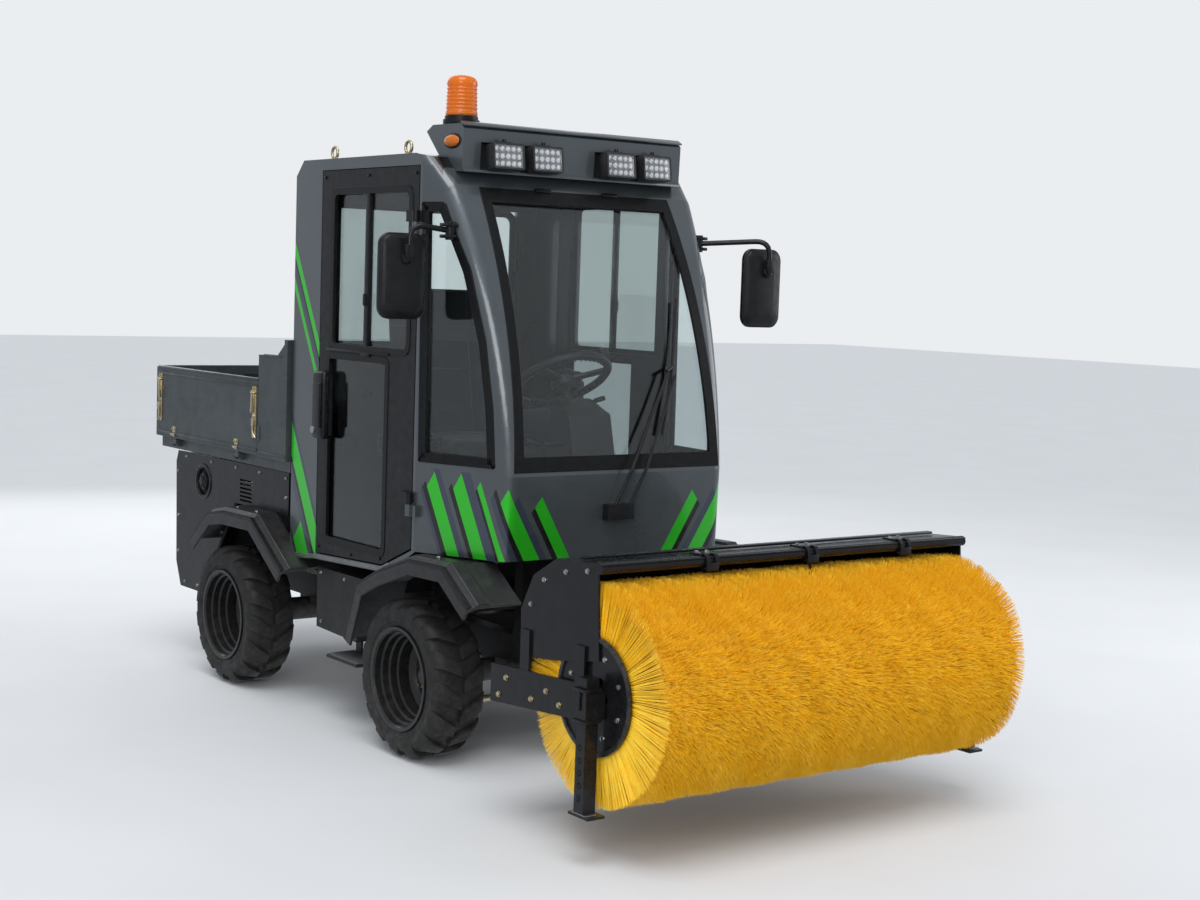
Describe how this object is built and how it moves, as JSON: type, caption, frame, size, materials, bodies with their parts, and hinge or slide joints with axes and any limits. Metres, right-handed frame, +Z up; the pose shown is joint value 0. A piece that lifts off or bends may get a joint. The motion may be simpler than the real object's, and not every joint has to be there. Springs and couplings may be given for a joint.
{
  "type": "compact road sweeper",
  "caption": "Compact road sweeper: narrow cab carrier on steered wheels with a tipping bed behind and a lifting, swivelling front roller brush under a folded hood.",
  "frame": {"origin": "middle of the whole length and width, on the ground", "axes": "+Z up, the vehicle faces -Y, its left side is +X"},
  "size_m": [1.698, 3.9545, 2.4462],
  "materials": {
    "cab_paint": "gloss metallic",
    "black_paint": "satin",
    "bed_grey": "satin",
    "black_plastic": "grained",
    "glass": "clear",
    "amber": "clear amber",
    "lamp": "clear lens",
    "tyre_rubber": "matte",
    "rim_paint": "satin",
    "cast": "cast",
    "zinc": "yellow zinc",
    "chrome": "polished",
    "cylinder_grey": "satin",
    "seat_fabric": "woven",
    "bristle": "strands"
  },
  "bodies": {
    "chassis": {"chassis_frame": "black_paint", "lift_bracket": "black_paint", "front_axle": "cast", "rear_axle": "cast", "engine_block": "cast", "cab_frame": "cab_paint", "front_cowl": "cab_paint", "cab_roof": "cab_paint", "cab_floor": "black_plastic", "cab_glass": "glass", "wiper": "black_plastic", "light_bar": "cab_paint", "work_lamps": "lamp", "beacon": "amber", "mirrors": "black_plastic", "fenders": "black_plastic", "side_boxes": "black_paint", "side_panels": "black_paint", "tail_panel": "black_paint", "seat_cushion": "seat_fabric", "seat_backrest": "seat_fabric", "steering_column": "black_plastic"},
    "steering_wheel": {"steering_wheel": "black_plastic"},
    "knuckle_right": {"knuckle_right": "cast"},
    "knuckle_left": {"knuckle_left": "cast"},
    "tie_rod": {"tie_rod": "zinc"},
    "front_wheel_right": {"front_rim_right": "rim_paint", "front_tyre_right": "tyre_rubber"},
    "front_wheel_left": {"front_rim_left": "rim_paint", "front_tyre_left": "tyre_rubber"},
    "rear_wheel_right": {"rear_rim_right": "rim_paint", "rear_tyre_right": "tyre_rubber"},
    "rear_wheel_left": {"rear_rim_left": "rim_paint", "rear_tyre_left": "tyre_rubber"},
    "door_right": {"door_right": "cab_paint", "door_glass_right": "glass"},
    "door_left": {"door_left": "cab_paint", "door_glass_left": "glass"},
    "bed": {"bed_floor": "bed_grey", "bed_bulkhead": "bed_grey"},
    "bed_side_right": {"bed_side_right": "bed_grey"},
    "bed_side_left": {"bed_side_left": "bed_grey"},
    "tailgate": {"tailgate": "bed_grey"},
    "bed_cylinder": {"bed_cylinder": "cylinder_grey"},
    "bed_rod": {"bed_rod": "chrome"},
    "lift_arms": {"lift_arms": "black_paint"},
    "upper_link": {"upper_link": "black_paint"},
    "lift_head": {"lift_head": "black_paint"},
    "lift_cylinder": {"lift_cylinder": "cylinder_grey"},
    "lift_rod": {"lift_rod": "chrome"},
    "brush_frame": {"brush_frame": "black_paint", "brush_hood": "black_paint"},
    "brush": {"brush_rotor": "rim_paint", "brush_bristles": "bristle"},
    "stand_leg_right": {"stand_leg_right": "black_paint"},
    "stand_leg_left": {"stand_leg_left": "black_paint"}
  },
  "joints": [
    {"name": "steer_right", "type": "hinge", "parent": "chassis", "child": "knuckle_right", "pos_m": [-0.43, -0.33373, 0.288], "axis": [0, 0, 1], "range_deg": [-28, 28]},
    {"name": "steer_left", "type": "hinge", "parent": "chassis", "child": "knuckle_left", "pos_m": [0.43, -0.33373, 0.288], "axis": [0, 0, 1], "range_deg": [-28, 28]},
    {"name": "tie_rod_swing", "type": "hinge", "parent": "knuckle_right", "child": "tie_rod", "pos_m": [-0.43, -0.46373, 0.214], "axis": [0, 0, 1], "range_deg": [-28, 28]},
    {"name": "steering_wheel_turn", "type": "hinge", "parent": "chassis", "child": "steering_wheel", "pos_m": [0, -0.35373, 1.34], "axis": [0, 0.5408, 0.8412], "range_deg": [-336, 336]},
    {"name": "front_wheel_right_roll", "type": "hinge", "parent": "knuckle_right", "child": "front_wheel_right", "pos_m": [-0.57, -0.33373, 0.288], "axis": [1, 0, 0], "continuous": true},
    {"name": "front_wheel_left_roll", "type": "hinge", "parent": "knuckle_left", "child": "front_wheel_left", "pos_m": [0.57, -0.33373, 0.288], "axis": [1, 0, 0], "continuous": true},
    {"name": "rear_wheel_right_roll", "type": "hinge", "parent": "chassis", "child": "rear_wheel_right", "pos_m": [-0.57, 1.10627, 0.288], "axis": [1, 0, 0], "continuous": true},
    {"name": "rear_wheel_left_roll", "type": "hinge", "parent": "chassis", "child": "rear_wheel_left", "pos_m": [0.57, 1.10627, 0.288], "axis": [1, 0, 0], "continuous": true},
    {"name": "door_right_swing", "type": "hinge", "parent": "chassis", "child": "door_right", "pos_m": [-0.598, -0.25973, 1.45], "axis": [0, 0, 1], "range_deg": [0, 75]},
    {"name": "door_left_swing", "type": "hinge", "parent": "chassis", "child": "door_left", "pos_m": [0.598, -0.25973, 1.45], "axis": [0, 0, -1], "range_deg": [0, 75]},
    {"name": "bed_tilt", "type": "hinge", "parent": "chassis", "child": "bed", "pos_m": [0, 1.83127, 0.885], "axis": [-1, 0, 0], "range_deg": [0, 45]},
    {"name": "bed_cylinder_swing", "type": "hinge", "parent": "chassis", "child": "bed_cylinder", "pos_m": [0, 1.16627, 0.482], "axis": [1, 0, 0], "range_deg": [0, 4.05]},
    {"name": "bed_rod_slide", "type": "slide", "parent": "bed_cylinder", "child": "bed_rod", "axis": [0, 0.6033, 0.7975], "range_m": [0, 0.26207]},
    {"name": "bed_side_right_drop", "type": "hinge", "parent": "bed", "child": "bed_side_right", "pos_m": [-0.596, 1.46627, 0.953], "axis": [0, -1, 0], "range_deg": [0, 150]},
    {"name": "bed_side_left_drop", "type": "hinge", "parent": "bed", "child": "bed_side_left", "pos_m": [0.596, 1.46627, 0.953], "axis": [0, 1, 0], "range_deg": [0, 150]},
    {"name": "tailgate_drop", "type": "hinge", "parent": "bed", "child": "tailgate", "pos_m": [0, 1.96727, 0.953], "axis": [-1, 0, 0], "range_deg": [0, 90]},
    {"name": "lift", "type": "hinge", "parent": "chassis", "child": "lift_arms", "pos_m": [0, -0.76373, 0.38], "axis": [-1, 0, 0], "range_deg": [-30.7, 14]},
    {"name": "upper_link_swing", "type": "hinge", "parent": "chassis", "child": "upper_link", "pos_m": [0, -0.76373, 0.56], "axis": [-1, 0, 0], "range_deg": [-30.7, 14]},
    {"name": "lift_head_level", "type": "hinge", "parent": "lift_arms", "child": "lift_head", "pos_m": [0, -1.02327, 0.45442], "axis": [-1, 0, 0], "range_deg": [-14, 30.7]},
    {"name": "lift_cylinder_swing", "type": "hinge", "parent": "chassis", "child": "lift_cylinder", "pos_m": [0, -0.76373, 0.69], "axis": [-1, 0, 0], "range_deg": [-5.85, 2.78]},
    {"name": "lift_rod_slide", "type": "slide", "parent": "lift_cylinder", "child": "lift_rod", "axis": [0, -0.5276, -0.8495], "range_m": [-0.03829, 0.08337]},
    {"name": "brush_swivel", "type": "hinge", "parent": "lift_head", "child": "brush_frame", "pos_m": [0, -1.08327, 0.544], "axis": [0, 0, 1], "range_deg": [-15, 15]},
    {"name": "brush_spin", "type": "hinge", "parent": "brush_frame", "child": "brush", "pos_m": [0, -1.64027, 0.496], "axis": [1, 0, 0], "continuous": true},
    {"name": "stand_leg_right_slide", "type": "slide", "parent": "brush_frame", "child": "stand_leg_right", "axis": [0, 0, 1], "range_m": [0, 0.2]},
    {"name": "stand_leg_left_slide", "type": "slide", "parent": "brush_frame", "child": "stand_leg_left", "axis": [0, 0, 1], "range_m": [0, 0.2]}
  ],
  "couplings": [
    {"joint": "steer_left", "follows": "steer_right", "ratio": 1},
    {"joint": "tie_rod_swing", "follows": "steer_right", "ratio": -1},
    {"joint": "steering_wheel_turn", "follows": "steer_right", "ratio": 12},
    {"joint": "bed_cylinder_swing", "follows": "bed_tilt", "ratio": 0.083358},
    {"joint": "bed_rod_slide", "follows": "bed_tilt", "m_per_rad": 0.33241},
    {"joint": "upper_link_swing", "follows": "lift", "ratio": 1},
    {"joint": "lift_head_level", "follows": "lift", "ratio": -1},
    {"joint": "lift_cylinder_swing", "follows": "lift", "ratio": 0.1841},
    {"joint": "lift_rod_slide", "follows": "lift", "m_per_rad": -0.15466}
  ]
}
